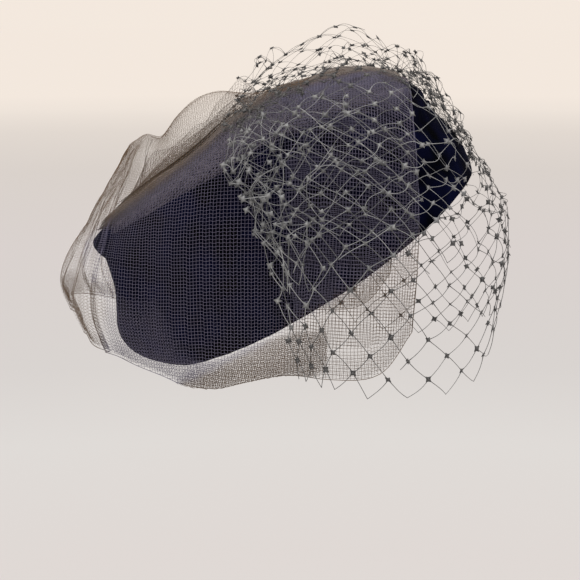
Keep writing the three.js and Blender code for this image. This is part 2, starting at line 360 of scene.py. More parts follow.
def smooth_curve(places, rows, wanted):
    """A smooth curve through rows of values at rising places, read at the wanted places."""
    flat = rows.reshape(len(rows), -1)
    steps = np.diff(places)[:, None]
    slopes = np.diff(flat, axis=0) / steps
    inner = (slopes[:-1] * steps[1:] + slopes[1:] * steps[:-1]) / (steps[:-1] + steps[1:])
    tangents = np.concatenate([slopes[:1], inner, slopes[-1:]])
    k = np.clip(np.searchsorted(places, wanted, "right") - 1, 0, len(places) - 2)
    h = steps[k]
    t = ((wanted - places[k])[:, None]) / h
    value = ((2 * t**3 - 3 * t**2 + 1) * flat[k] + (t**3 - 2 * t**2 + t) * h * tangents[k]
             + (3 * t**2 - 2 * t**3) * flat[k + 1] + (t**3 - t**2) * h * tangents[k + 1])
    return value.reshape((len(wanted),) + rows.shape[1:])


def read_between(table, a, b):
    """Reads a table smoothly between its points, at fractional row a and column b."""
    i = np.minimum(a.astype(int), table.shape[0] - 2)
    j = np.minimum(b.astype(int), table.shape[1] - 2)
    fa = (a - i).reshape(a.shape + (1,) * (table.ndim - 2))
    fb = (b - j).reshape(b.shape + (1,) * (table.ndim - 2))
    near = table[i, j] * (1 - fa) + table[i + 1, j] * fa
    far = table[i, j + 1] * (1 - fa) + table[i + 1, j + 1] * fa
    return near * (1 - fb) + far * fb


def mirrored(points):
    return points * np.array([1.0, -1.0, 1.0])


class Veil:
    """One half of a draped sheet. u runs round it in millimetres at the waist, s from ridge 0 to hem 1."""
    U_STEP = 1.0
    S_COUNT = 241

    def __init__(self, sections, push=None):
        self.places = chord_places(sections[:, WAIST])
        self.width = self.places[-1]
        beyond = 2 * self.places[-1] - self.places[-2]
        twin = mirrored(sections[-2:-1])
        self.u = np.linspace(0, self.width, int(self.width / self.U_STEP) + 1)
        rails = smooth_curve(np.append(self.places, beyond), np.concatenate([sections, twin]), self.u)
        s = np.linspace(0, 1, self.S_COUNT)
        self.grid = np.empty((len(self.u), len(s), 3))
        self.lengths = np.empty(len(self.u))
        for row, points in enumerate(rails):
            points = np.concatenate([mirrored(points[1:2]), points])
            gaps = np.sqrt(np.linalg.norm(np.diff(points, axis=0), axis=1))
            knots = np.concatenate([[0], np.cumsum(gaps)])
            fine = smooth_curve(knots, points, np.linspace(knots[1], knots[-1], 400))
            run = chord_places(fine)
            self.lengths[row] = run[-1]
            for axis in range(3):
                self.grid[row, :, axis] = np.interp(s * run[-1], run, fine[:, axis])
        if push is not None:
            self.grid = push(self.grid, self.u[:, None], s[None, :], self.width)
        normal = unit(np.cross(np.gradient(self.grid, axis=0), np.gradient(self.grid, axis=1)))
        outward = self.grid - VEIL_INSIDE
        self.normal = normal * np.sign((normal * outward).sum(-1).mean())

    def read(self, table, u, s):
        """Reads a table held on the sheet's grid at any u and s."""
        a = np.clip(np.asarray(u) / self.width, 0, 1) * (len(self.u) - 1)
        b = np.clip(np.asarray(s), 0, 1) * (self.S_COUNT - 1)
        return read_between(table, a, b)

    def at(self, u, s, lift=0.0):
        """Points of the sheet, and their normals, lifted off it by a distance."""
        normal = unit(self.read(self.normal, u, s))
        return self.read(self.grid, u, s) + normal * np.asarray(lift)[..., None], normal


def tulle_push(grid, u, s, width):
    """Pushes the tulle out and in along its upright folds."""
    from_back = width - u
    depth = 0.0
    for place, fold_width, fold_depth in TULLE_FOLDS:
        depth = depth + fold_depth * np.exp(-(((from_back - place) / (fold_width / 2)) ** 2))
    outward = grid - np.array([TULLE_MIDDLE, 0, 0])
    outward[..., 2] = 0
    amount = depth * smoothstep(s, FOLD_START, FOLD_FULL)
    return grid + unit(outward) * amount[..., None]


# Meshes


def thin_out(*rows):
    """Keeps a thread's points where it bends and some where it is straight. The first row is the points."""
    steps = np.diff(rows[0], axis=0)
    lengths = np.linalg.norm(steps, axis=1)
    directions = unit(steps)
    turn = np.arccos(np.clip((directions[:-1] * directions[1:]).sum(1), -1, 1))
    worth = np.floor(np.cumsum(lengths[:-1] / THREAD_REACH + turn / THREAD_BEND))
    keep = np.concatenate([[True], np.diff(worth, prepend=0) > 0, [True]])
    return [row[keep] for row in rows]


def tube_parts(lines, sides):
    """Closed tubes along lines of points with normals and thickness, as points, quads and end caps."""
    angles = math.tau * np.arange(sides) / sides
    all_points = []
    quads = []
    caps = []
    shift = 0
    for points, normals, thickness in lines:
        count = len(points)
        tangent = unit(np.gradient(points, axis=0))
        across = unit(np.cross(tangent, normals))
        up = np.cross(across, tangent)
        ring = np.cos(angles)[None, :, None] * up[:, None] + np.sin(angles)[None, :, None] * across[:, None]
        radius = np.broadcast_to(np.asarray(thickness, float) / 2, (count,))[:, None, None]
        all_points.append((points[:, None] + radius * ring).reshape(-1, 3))
        index = shift + np.arange(count * sides).reshape(count, sides)
        turned = np.roll(index, -1, axis=1)
        quads.append(np.stack([index[:-1], index[1:], turned[1:], turned[:-1]], -1).reshape(-1, 4))
        caps.append(index[0])
        caps.append(index[-1][::-1])
        shift += count * sides
    return np.concatenate(all_points), np.concatenate(quads), np.array(caps)


def make_object(name, points, face_groups, material):
    """A mesh object of the given points, in millimetres, and faces, riding on the part's one body."""
    faces = [face for group in face_groups for face in group.tolist()]
    mesh = bpy.data.meshes.new(name)
    mesh.from_pydata((points * MM).tolist(), [], faces)
    mesh.polygons.foreach_set("use_smooth", np.ones(len(faces), bool))
    mesh.materials.append(material)
    mesh.update()
    piece = bpy.data.objects.new(name, mesh)
    bpy.context.scene.collection.objects.link(piece)
    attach(piece, "root")
    return piece


def set_painted_light_share(piece, places, streaks, painted_light_mask, repeats):
    """Keeps how far each point hangs clear of the felt, seen from its side, with its thread's streak. The
    threads' colours read it as painted light and shade.
    """
    free = np.repeat(1 - painted_light_mask.at(places[:, 0], places[:, 2]) + streaks, repeats)
    piece.data.attributes.new("free", "FLOAT", "POINT").data.foreach_set("value", free)


def thread_object(name, lines, material, painted_light_mask, streak):
    """One mesh of many threads of tulle, with a seeded streak of colour for each."""
    streaks = rng.normal(0, streak, len(lines))
    points, quads, caps = tube_parts(lines, TULLE_SIDES)
    piece = make_object(name, points, [quads, caps], material)
    middle = np.concatenate([line[0] for line in lines])
    set_painted_light_share(piece, middle, np.repeat(streaks, [len(line[0]) for line in lines]), painted_light_mask, TULLE_SIDES)
    return piece


class FeltGrid:
    """Values kept on a square grid and read smoothly between its points."""
    STEP = 2.0

    def __init__(self, low, high):
        self.low = low
        self.shape = [int((high[k] - low[k]) / self.STEP) + 1 for k in (0, 1)]
        self.value = np.zeros(self.shape)
        self.known = np.zeros(self.shape, bool)

    def cast(self, felt_tree, start_at, direction, axis):
        """Keeps, for each grid point, where a ray first meets the felt, and whether it does."""
        for i in range(self.shape[0]):
            for j in range(self.shape[1]):
                start = start_at(self.low[0] + i * self.STEP, self.low[1] + j * self.STEP)
                hit = felt_tree.ray_cast(Vector(start) * MM, Vector(direction))[0]
                if hit is not None:
                    self.known[i, j] = True
                    self.value[i, j] = hit[axis] / MM

    def around(self, table):
        """Each point's sum with its eight neighbours."""
        padded = np.pad(table, 1, mode="edge")
        views = [slice(0, -2), slice(1, -1), slice(2, None)]
        return sum(padded[a, b] for a in views for b in views)

    def at(self, p, q):
        return self.read(self.value, p, q)

    def read(self, table, p, q):
        """Reads a table held on the grid at any place."""
        a = np.clip((p - self.low[0]) / self.STEP, 0, self.shape[0] - 1)
        b = np.clip((q - self.low[1]) / self.STEP, 0, self.shape[1] - 1)
        return read_between(table, a, b)


# Mask of the threads' painted light: where it is 1 they are painted lighter, as lying over the felt
def painted_light_outline(felt_tree, rim_drop=1.0, top_gain=1.0):
    """1 where the felt lies, seen from its side, and 0 clear of it. A drop above 1 leaves out its lower edge,
    and a gain above 1 takes in what lies along its top."""
    grid = FeltGrid(*SIDE_VIEW)
    grid.cast(felt_tree, lambda x, z: (x, -RAY_START, z), (0, 1, 0), 1)
    x = grid.low[0] + grid.STEP * np.arange(grid.shape[0])[:, None]
    z = grid.low[1] + grid.STEP * np.arange(grid.shape[1])[None, :]
    tilt = math.radians(HAT_TILT)
    above_rim = z * math.cos(tilt) - x * math.sin(tilt)
    share = grid.around(grid.known.astype(float)) / 9
    upper = np.where(above_rim > TOP_DEPTH, top_gain * share, share)
    grid.value = np.clip(np.where(above_rim < RIM_DEPTH, 1 - rim_drop * (1 - share), upper), 0, 1)
    return grid


def top_surface(felt_tree):
    """The felt's height from above, eased over its edges, and how far inside its gentle top a place is."""
    grid = FeltGrid(*TOP_VIEW)
    grid.cast(felt_tree, lambda x, y: (x, y, RAY_START), (0, 0, -1), 2)
    lying = (grid.around(grid.known.astype(float)) > 8) & (grid.value > TOP_LOWEST)
    for _ in range(4):
        share = grid.around(grid.known.astype(float))
        eased = grid.around(grid.value * grid.known) / np.maximum(share, 1)
        grid.value = np.where(grid.known, np.maximum(grid.value, eased), eased)
        grid.known = share > 0
    slope = np.hypot(*np.gradient(grid.value, grid.STEP))
    grid.inside = (lying & (slope < TOP_STEEPEST)).astype(float)
    for _ in range(4):
        grid.inside = grid.around(grid.inside) / 9
    return grid


# Materials


def new_material(name, roughness, specular):
    material = bpy.data.materials.new(name)
    material.use_nodes = True
    nodes = material.node_tree.nodes
    shader = nodes["Principled BSDF"]
    set_inputs(shader, {"Roughness": roughness, "Specular IOR Level": specular})
    return material, nodes, material.node_tree.links, shader


def set_inputs(node, values):
    for name, value in values.items():
        node.inputs[name].default_value = value


def colour_by(value, stops, nodes, links, shader):
    """Colours a shader by a value, through stops of place and colour."""
    ramp = nodes.new("ShaderNodeValToRGB")
    steps = ramp.color_ramp.elements
    for _ in stops[2:]:
        steps.new(0.5)
    for step, (place, colour) in zip(steps, stops):
        step.position = place
        step.color = (*colour, 1)
    links.new(value, ramp.inputs["Fac"])
    links.new(ramp.outputs["Color"], shader.inputs["Base Color"])


def felt_material():
    """Mottled navy, with the fibres of the felt as a fine bump."""
    material, nodes, links, shader = new_material("navy_felt", *FELT_FINISH)
    set_inputs(shader, FELT_SHEEN)
    place = nodes.new("ShaderNodeTexCoord")
    mottle = nodes.new("ShaderNodeTexNoise")
    set_inputs(mottle, FELT_MOTTLE)
    links.new(place.outputs["Object"], mottle.inputs["Vector"])
    colour_by(mottle.outputs["Fac"], FELT_COLOURS, nodes, links, shader)
    fibre = nodes.new("ShaderNodeTexNoise")
    set_inputs(fibre, FELT_FIBRE)
    links.new(place.outputs["Object"], fibre.inputs["Vector"])
    bump = nodes.new("ShaderNodeBump")
    set_inputs(bump, FELT_BUMP)
    links.new(fibre.outputs["Fac"], bump.inputs["Height"])
    links.new(bump.outputs["Normal"], shader.inputs["Normal"])
    return material


def thread_material(name, stops, finish):
    """A thread's colours, from where it lies on the felt, at 0, to where it hangs clear of it, at 1. They
    paint light and shade onto the threads by where they lie.
    """
    material, nodes, links, shader = new_material(name, *finish)
    free = nodes.new("ShaderNodeAttribute")
    free.attribute_name = "free"
    colour_by(free.outputs["Fac"], stops, nodes, links, shader)
    return material


# Felt hat


def oval(angle, front, back, side):
    """Points of an oval with its own reach to the front, the back and the side."""
    along = np.cos(angle)
    across = np.sin(angle)
    reach = np.where(along > 0, front, back)
    x = reach * np.sign(along) * np.abs(along) ** (2 / OVAL_POWER)
    y = side * np.sign(across) * np.abs(across) ** (2 / OVAL_POWER)
    return x, y


def bend_rim(points):
    """Moves points of the upright hat up with the bends of its rim."""
    bent = points.copy()
    fade = np.clip(1 - points[..., 2] / BEND_HEIGHT, 0, None)
    for start, end, rise in RIM_BENDS:
        share = np.clip((points[..., 0] - start) / (end - start), 0, None)
        bent[..., 2] += rise * fade * share**BEND_POWER
    return bent


def tilt_back(points):
    """Turns points from the hat's upright frame to how it is worn."""
    c = math.cos(math.radians(HAT_TILT))
    s = math.sin(math.radians(HAT_TILT))
    x = points[..., 0] * c - points[..., 2] * s
    z = points[..., 0] * s + points[..., 2] * c
    return np.stack([x, points[..., 1], z], -1)


def ring_normals(rings):
    """Outward normals of a wall given as closed rings of points, from its foot up."""
    around = np.roll(rings, -1, axis=1) - np.roll(rings, 1, axis=1)
    upward = np.gradient(rings, axis=0)
    return unit(np.cross(around, upward))


def rolled_edge(outer, inner, away):
    """Rings of a rounded edge from the outer wall to the inner one. away points off the edge."""
    rings = []
    for step in range(1, EDGE_STEPS):
        turn = math.pi * step / EDGE_STEPS
        middle = (outer + inner) / 2
        half = (outer - inner) / 2
        swing = unit(away) * np.linalg.norm(half, axis=-1, keepdims=True)
        rings.append(middle + half * math.cos(turn) + swing * math.sin(turn))
    return rings


def ring_faces(count, closed):
    """Faces between rings of the hat, round to the first ring again if closed."""
    index = np.arange(count * HAT_SIDES).reshape(count, HAT_SIDES)
    following = np.roll(index, -1, axis=0) if closed else index[1:]
    index = index if closed else index[:-1]
    corners = [index, np.roll(index, -1, axis=1), np.roll(following, -1, axis=1), following]
    return np.stack(corners, -1).reshape(-1, 4)


def felt_piece(name, rings, poles, material):
    """A felt wall with rounded free edges. Poles, if given, close its top outside and inside."""
    normals = ring_normals(rings)
    ripple = wave_field(9, 14, 60)
    height = FELT_WAVE * ripple(rings[..., 0] + rings[..., 2], rings[..., 1] - rings[..., 2])
    rings = rings + normals * height[..., None]
    inner = rings - normals * FELT_WALL
    foot = rolled_edge(inner[0], rings[0], rings[0] - rings[1])
    if poles is None:
        top = rolled_edge(rings[-1], inner[-1], rings[-1] - rings[-2])
        loop = np.concatenate([rings, top, inner[::-1], foot])
        points = tilt_back(loop.reshape(-1, 3))
        return make_object(name, points, [ring_faces(len(loop), True)], material)
    wall = np.concatenate([inner[::-1], foot, rings])
    points = np.concatenate([wall.reshape(-1, 3), poles])
    faces = ring_faces(len(wall), False)
    side = np.arange(HAT_SIDES)
    last = (len(wall) - 1) * HAT_SIDES
    outer_pole = len(wall) * HAT_SIDES
    caps = np.concatenate([
        np.stack([last + side, last + (side + 1) % HAT_SIDES, np.full(HAT_SIDES, outer_pole)], -1),
        np.stack([(side + 1) % HAT_SIDES, side, np.full(HAT_SIDES, outer_pole + 1)], -1),
    ])
    return make_object(name, tilt_back(points), [faces, caps], material)


def make_crown(material):
    profile = np.stack([CROWN_SECTIONS[:, 0], CROWN_SECTIONS[:, 1:].mean(1)], -1)
    places = chord_places(profile)
    wanted = np.linspace(0, places[-1], int(places[-1] / FELT_STEP))
    rings = []
    for height, front, back, side in smooth_curve(places, CROWN_SECTIONS, wanted):
        x, y = oval(HAT_ANGLES, front, back, side)
        rings.append(np.stack([x, y, np.full(HAT_SIDES, height)], -1))
    last = rings[-1]
    for share in np.linspace(1, 0, 9)[1:-1]:
        ring = CROWN_TOP + (last - CROWN_TOP) * share
        ring[:, 2] = CROWN_TOP[2] - (CROWN_TOP[2] - last[0, 2]) * share**2
        rings.append(ring)
    poles = np.array([CROWN_TOP, CROWN_TOP - np.array([0, 0, FELT_WALL])])
    crown = felt_piece("crown_felt", bend_rim(np.array(rings)), poles, material)
    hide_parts("crown")
    return crown


def make_cuff(material):
    from_front = np.degrees(np.arccos(np.cos(HAT_ANGLES)))
    edge, bulge = smooth_curve(CUFF_SECTIONS[:, 0], CUFF_SECTIONS[:, 1:], from_front).T
    rings = []
    for share in np.linspace(0, 1, int(CUFF_SECTIONS[:, 1].max() / FELT_STEP)):
        height = share * edge
        under = np.minimum(height, CUFF_STRAIGHT)
        columns = CROWN_SECTIONS[:, 1:].T
        front, back, side = (np.interp(under, CROWN_SECTIONS[:, 0], column) for column in columns)
        grow = CUFF_GAP + FELT_WALL + bulge * math.sin(math.pi * share**CUFF_BULGE_START)
        x, y = oval(HAT_ANGLES, front + grow, back + grow, side + grow)
        rings.append(np.stack([x, y, height], -1))
    cuff = felt_piece("cuff_felt", bend_rim(np.array(rings)), None, material)
    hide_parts("cuff")
    return cuff


# Tulle


def stretches(there):
    """Index runs where a thread's points are on the cloth."""
    runs = np.split(np.arange(len(there)), np.nonzero(np.diff(there.astype(int)))[0] + 1)
    return [run for run in runs if there[run[0]] and len(run) > 3]


def woven(place, low, high, turn=0.0, pitch=TULLE_PITCH):
    """Threads of a square mesh. place maps flat p and q to points, normals, where cloth is, and thickness."""
    low = np.array(low, float)
    high = np.array(high, float)
    middle = (low + high) / 2
    reach = np.linalg.norm(high - low) / 2
    c = math.cos(math.radians(turn))
    s = math.sin(math.radians(turn))
    run = np.arange(-reach, reach, THREAD_STEP)
    lines = []
    for across in np.arange(-reach, reach, pitch):
        for p, q in ((run, np.full_like(run, across)), (np.full_like(run, across), run)):
            flat_p = middle[0] + p * c - q * s
            flat_q = middle[1] + p * s + q * c
            inside = (flat_p >= low[0]) & (flat_p <= high[0]) & (flat_q >= low[1]) & (flat_q <= high[1])
            if inside.sum() < 4:
                continue
            points, normals, cloth, thickness = place(flat_p, flat_q)
            for part in stretches(inside & cloth):
                lines.append(thin_out(points[part], normals[part], thickness[part]))
    return lines


class TulleSide:
    """How flat tulle lies on one side of the veil: p round it from the front edge, q down from the ridge."""

    def __init__(self, veil, far):
        self.veil = veil
        self.far = far
        top_of = veil.grid[..., 2] >= TULLE_LEVEL
        last_above = veil.S_COUNT - 1 - np.argmax(top_of[:, ::-1], axis=1)
        self.above = veil.lengths * last_above / (veil.S_COUNT - 1)
        self.usual = np.median(self.above)
        self.depth = self.usual + (veil.lengths - self.above).max()
        self.stray_p = wave_field(7, 40, 120)
        self.stray_q = wave_field(7, 40, 120)
        self.ripple = wave_field(8, 25, 80)
        self.pleats = TULLE_PLEATS + np.array([PLEAT_SHIFT * far, 0, 0, 0, 0])

    def share(self, p, q):
        """The share of the way from ridge to hem that lies q along the cloth."""
        above = np.interp(p, self.veil.u, self.above)
        down = np.where(q < self.usual, q * above / self.usual, above + q - self.usual)
        return down / np.interp(p, self.veil.u, self.veil.lengths)

    def above_hem(self, p, s):
        return (1 - s) * np.interp(p, self.veil.u, self.veil.lengths)

    def put(self, p, q, lift=0.0, pleated=True):
        """Points, normals, share of the way down and thickness of threads at p and q on the flat cloth."""
        p = p + TULLE_STRAY * self.stray_p(p, q)
        q = q + TULLE_STRAY * self.stray_q(p, q)
        s = self.share(p, q)
        u = p
        rise = lift + TULLE_RIPPLE * self.ripple(p, q)
        from_back = self.veil.width - p
        if pleated:
            for place, width, overlap, start, full in self.pleats:
                x = (from_back - place) / width
                bell = np.exp((1 - x * x) / 2) * smoothstep(s, start, full)
                u = u + overlap * x * bell
                rise = rise + PLEAT_LIFT * x * bell
        points, normals = self.veil.at(u, s, rise)
        if self.far:
            points = mirrored(points)
            normals = mirrored(normals)
        down = s + COARSE_HIGHER * (p < COARSE_FRONT)
        coarse = smoothstep(from_back, *COARSE_ROUND) * smoothstep(down, *COARSE_DOWN)
        return points, normals, s, TULLE_FINE + (TULLE_THREAD - TULLE_FINE) * coarse

    def outer(self, p, q):
        points, normals, s, thickness = self.put(p, q)
        return points, normals, (s >= -0.006) & (s <= 1), thickness

    def edges(self):
        """The doubled edge along the hem and the front."""
        u = np.linspace(0, self.veil.width, 300)
        s = np.linspace(0, 1, 240)
        lines = []
        for p, share in ((u, np.ones_like(u)), (np.zeros_like(s), s)):
            run = share * np.interp(p, self.veil.u, self.veil.lengths)
            above = np.interp(p, self.veil.u, self.above)
            q = np.where(run < above, run * self.usual / above, run - above + self.usual)
            points, normals, _, _ = self.put(p, q)
            lines.append(thin_out(points, normals, np.full(len(points), TULLE_HEM)))
        return lines

    def creases(self):
        """The sharp edges of the pleats, as threads pressed together."""
        lines = []
        for place, width, _, start, _ in self.pleats:
            q = np.linspace(0, self.depth, 240)
            for edge in (-1.0, 1.0):
                sway = CREASE_SWAY * np.sin(q / CREASE_WAVE + place)
                p = self.veil.width - place + edge * width + sway
                points, normals, s, _ = self.put(p, q)
                part = (s > start) & (s < 1)
                lines.append(thin_out(points[part], normals[part], np.full(part.sum(), TULLE_CREASE)))
        return lines


def under_layers(side):
    """Tulle turned under: a strip along the hem, a layer at the front, a patch behind it and a corner."""
    width = side.veil.width

    def layer(inside_of, lift, share, reach, lowest, pleated):
        """A layer with a soft edge. inside_of says how far inside it a place is."""
        def place(p, q):
            points, normals, s, _ = side.put(p, q, lift, pleated)
            inside = inside_of(p, side.above_hem(p, s))
            kept = UNDER_EDGE + (1 - UNDER_EDGE) * smoothstep(inside, 0, reach)
            return points, normals, (s <= lowest) & (inside > 0), share * TULLE_FINE * kept
        return place

    def strip(p, up):
        return 13 + 3 * np.sin(p / 17) - up

    def front(p, q):
        points, normals, s, thickness = side.put(p, q, UNDER_FRONT_LIFT, False)
        edge = 76 + 5 * np.sin(q / 14)
        clear = side.above_hem(p, s) > 15 + 0.05 * p
        return points, normals, (p < edge) & clear & (s > 0.1), thickness

    def middle(p, up):
        top = 15 + 0.17 * np.clip(120 - p, 0, None)
        return np.minimum(42 - np.abs(p - 98 + 0.9 * up), 2.5 * (top - up))

    def corner(p, up):
        across = np.minimum(width - p - 44 - 0.5 * up, p - 114 - 0.8 * up)
        return np.minimum(44 + 7 * np.sin(p / 15) - up, across)

    hem_strip = layer(strip, *UNDER_STRIP)
    patch = layer(middle, *UNDER_MIDDLE)
    back_corner = layer(corner, *UNDER_CORNER)
    lines = woven(hem_strip, (0, side.usual - 60), (width, side.depth), 7, TULLE_CLOSE)
    lines += woven(front, (0, 0), (84, side.depth), -5)
    for turn in (12, -17):
        lines += woven(patch, (50, side.usual - 60), (156, side.depth), turn, TULLE_CLOSE)
    lines += woven(back_corner, (110, side.usual - 40), (width - 60, side.depth), 38, 1.3 * TULLE_CLOSE)
    return lines


def make_tulle(painted_light_mask, material):
    veil = Veil(TULLE_HALF, tulle_push)
    lines = []
    under = []
    for far in (False, True):
        side = TulleSide(veil, far)
        lines += woven(side.outer, (0, -1), (veil.width, side.depth)) + side.edges() + side.creases()
        under += under_layers(side)
    tulle = thread_object("tulle_mesh", lines, material, painted_light_mask, TULLE_STREAK)
    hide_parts("tulle_veil")
    layer = thread_object("tulle_turned_under", under, material, painted_light_mask, TULLE_STREAK)
    return tulle, layer


def tree_of(pieces):
    """A search tree of the pieces' faces."""
    points = []
    faces = []
    for piece in pieces:
        shift = len(points)
        points += [vertex.co for vertex in piece.data.vertices]
        faces += [[shift + index for index in face.vertices] for face in piece.data.polygons]
    return BVHTree.FromPolygons(points, faces)


def make_gathers(felt_tree, painted_light_mask, material):
    """Layers of tulle gathered over the top of the crown, with a roll of it along the ridge."""
    top = top_surface(felt_tree)
    lines = []
    for turn, rise, roll, edge in GATHER_LAYERS:
        ripple = wave_field(8, 16, 60)
        sway = wave_field(5, 30, 80)

        def place(p, q):
            z = top.at(p, q)
            bank = np.exp(-(((q - ROLL_MIDDLE - ROLL_SWAY * sway(p, 0 * p)) / ROLL_WIDTH) ** 2))
            along = smoothstep(p, *ROLL_START) * (1 - smoothstep(p, *ROLL_END))
            uneven = 0.75 + 0.25 * ripple(1.2 * p, q)
            z = z + rise + GATHER_RIPPLE * (1 + ripple(p, q)) + roll * bank * along * uneven
            cloth = (p < GATHER_FRONT) & (top.read(top.inside, p, q) > edge)
            thickness = GATHER_THREAD - (GATHER_THREAD - TULLE_FINE) * bank * along
            return np.stack([p, q, z], -1), np.tile([0.0, 0.0, 1.0], (len(p), 1)), cloth, thickness
        lines += woven(place, *GATHER_AREA, turn)
    gathers = thread_object("tulle_gathers", lines, material, painted_light_mask, GATHER_STREAK)
    return gathers, make_fold_shade(top, painted_light_mask)


def make_fold_shade(top, painted_light_mask):
    """Painted shade along both feet of the roll: a bundle of dark threads laid close together where shadow
    falls in the creases.
    """
    x = np.arange(FOLD_LINE[0, 0], FOLD_LINE[-1, 0], FOLD_STEP)
    middle = smooth_curve(FOLD_LINE[:, 0], FOLD_LINE[:, 1:], x)[:, 0]
    lines = []
    for thread in range(2 * FOLD_THREADS):
        sway = wave_field(3, 18, 50)
        y = middle + rng.normal(0, FOLD_SPREAD) + FOLD_SWAY * sway(x, 0 * x)
        if thread % 2:
            y = 2 * ROLL_MIDDLE - y
        z = top.at(x, y) + rng.uniform(*FOLD_RISE)
        part = slice(rng.integers(0, FOLD_SHORTER[0]), len(x) - rng.integers(0, FOLD_SHORTER[1]))
        points = np.stack([x, y, z], -1)[part]
        normals = np.tile([0.0, 0.0, 1.0], (len(points), 1))
        lines.append(thin_out(points, normals, np.full(len(points), FOLD_THREAD)))
    finish = thread_material("tulle_fold_shade", FOLD_SHADE_COLOURS, FOLD_FINISH)
    fold_shade = thread_object("tulle_fold_shade", lines, finish, painted_light_mask, FOLD_STREAK)
    return fold_shade


# Net


class NetLayer:
    """One layer of the knotted net over both halves, its knots kept as u, s and lift off the veil."""

    def __init__(self, veil, columns, rows, drop, crumple, lift):
        self.veil = veil
        self.columns = columns * veil.width / NET_COLUMNS[-1]
        self.closed = columns[-1] > 0.9 * NET_COLUMNS[-1]
        self.first, self.last = rows
        self.drop = drop
        self.crumple = crumple
        self.lift = lift
        self.index = {}
        self.knots = []
        for side in (-1, 1):
            self.place_knots(side)
        self.knots = np.array(self.knots)
        self.pairs = [pair for side in (-1, 1) for pair in self.pairs_of(side)]
        self.draw_in()
        self.lines = [self.strand(*pair) for pair in self.pairs]
        self.stars = [self.star(side, here) for (side, row, _), here in self.index.items() if row < self.last]

    def place_knots(self, side):
        shift = [wave_field(6, 22, 60) for _ in range(3)]
        last = len(self.columns) - 1
        for row in range(self.first, self.last + 1):
            half = 0.5 * (row % 2)
            for column in range(last + 1 - (row % 2)):
                seam = self.closed and half == 0 and column == last
                if side > 0 and (row == 0 or seam):
                    self.index[side, row, column] = self.index[-1, row, column]
                    continue
                s = np.interp(row, NET_GATHERS[:, 0], NET_GATHERS[:, 1])
                start = NET_CORNER * max(1 - s / NET_CORNER_DOWN, 0)
                u = np.interp(column + half, np.arange(last + 1), self.columns)
                u = start + u * (1 - start / self.veil.width)
                loose = self.crumple * (1 - smoothstep(s, 0.5, 0.85)) + NET_FIRM
                stray_u, stray_s, stray_lift = [field(u, 200 * s) for field in shift]
                around = u + loose * (NET_SHIFT * stray_u + rng.normal(0, NET_SCATTER))
                down = s + loose * (NET_SHIFT * stray_s + rng.normal(0, NET_SCATTER)) / NET_DOWN
                lift = self.lift + loose * (NET_RISE * stray_lift + abs(rng.normal(0, NET_RISE)))
                room = np.interp(u, self.veil.places, NET_CLEARANCE)
                lift -= self.drop * rng.uniform(0.3, 1.0) * room * max(1 - s / NET_SINK, 0)
                lift += NET_JUMBLE * rng.normal() * max(1 - s / NET_PUFF, 0)
                if row == 0:
                    down = 0.0
                if seam:
                    around = self.veil.width
                self.index[side, row, column] = len(self.knots)
                self.knots.append([np.clip(around, 0, self.veil.width), max(down, 0.0), lift])

    def pairs_of(self, side):
        """The strands of one side, each as its side, the knots it ties, and whether it ends in a knot."""
        for (at_side, row, column), here in self.index.items():
            if at_side != side:
                continue
            for below in ((column, column + 1) if row % 2 else (column - 1, column)):
                there = self.index.get((side, row + 1, below))
                if there is not None:
                    yield side, here, there, row + 1 < self.last

    def point(self, path):
        front = smoothstep(path[:, 0] / self.veil.width, *DENT_ROUND)
        dent = NET_DENT * front * np.exp(-(((path[:, 1] - DENT_DOWN) / DENT_SPREAD) ** 2))
        return self.veil.at(path[:, 0], path[:, 1], path[:, 2] - dent)

    def draw_in(self):
        """Draws knots together where the strand between them would have to stretch."""
        a = np.array([pair[1] for pair in self.pairs])
        b = np.array([pair[2] for pair in self.pairs])
        fixed_u = self.knots[:, 0] == self.veil.width
        fixed_s = self.knots[:, 1] == 0
        for _ in range(20):
            points, _ = self.point(self.knots)
            span = np.linalg.norm(points[b] - points[a], axis=1)
            share = 0.3 * np.clip(span - NET_EDGE, 0, None) / span
            pull = share[:, None] * (self.knots[b] - self.knots[a])
            move = np.zeros_like(self.knots)
            np.add.at(move, a, pull)
            np.add.at(move, b, -pull)
            move[fixed_u, 0] = 0
            move[fixed_s, 1] = 0
            self.knots = self.knots + move

    def strand(self, side, here, there, knotted):
        """A strand keeps its length, so it bows where its knots are closer together than that."""
        t = np.linspace(0, 1, NET_STEPS)[:, None]
        points, normals = self.point(self.knots[here] * (1 - t) + self.knots[there] * t)
        span = np.linalg.norm(points[-1] - points[0])
        across = unit(np.cross(points[-1] - points[0], normals[NET_STEPS // 2]))
        slack = math.sqrt(0.375 * max(NET_EDGE / span - 1, 0))
        turn = rng.uniform(0, math.pi)
        away = 0.6 * across * math.cos(turn) + 0.9 * normals[NET_STEPS // 2] * math.sin(turn)
        skew = t[:, :1] ** rng.uniform(0.7, 1.4)
        down = self.knots[here][1]
        hanging = smoothstep(down, 0.5, 0.66)
        bow = np.clip(slack, 0.05, NET_BOW + (NET_SAG - NET_BOW) * hanging)
        points = points + away * bow * span * np.sin(math.pi * skew)
        run = t[:, 0] * span / FLARE_REACH
        ends = np.exp(-run) + knotted * np.exp(run - run[-1])
        kept = NET_STEPS // 2 if rng.random() < NET_BROKEN and knotted else NET_STEPS
        if side > 0:
            points = mirrored(points)
            normals = mirrored(normals)
        thickness = NET_STRAND - NET_THIN * (down < 0.2) + NET_HANGING * (down > 0.6) + NET_FLARE * ends
        return points[:kept], normals[:kept], thickness[:kept]

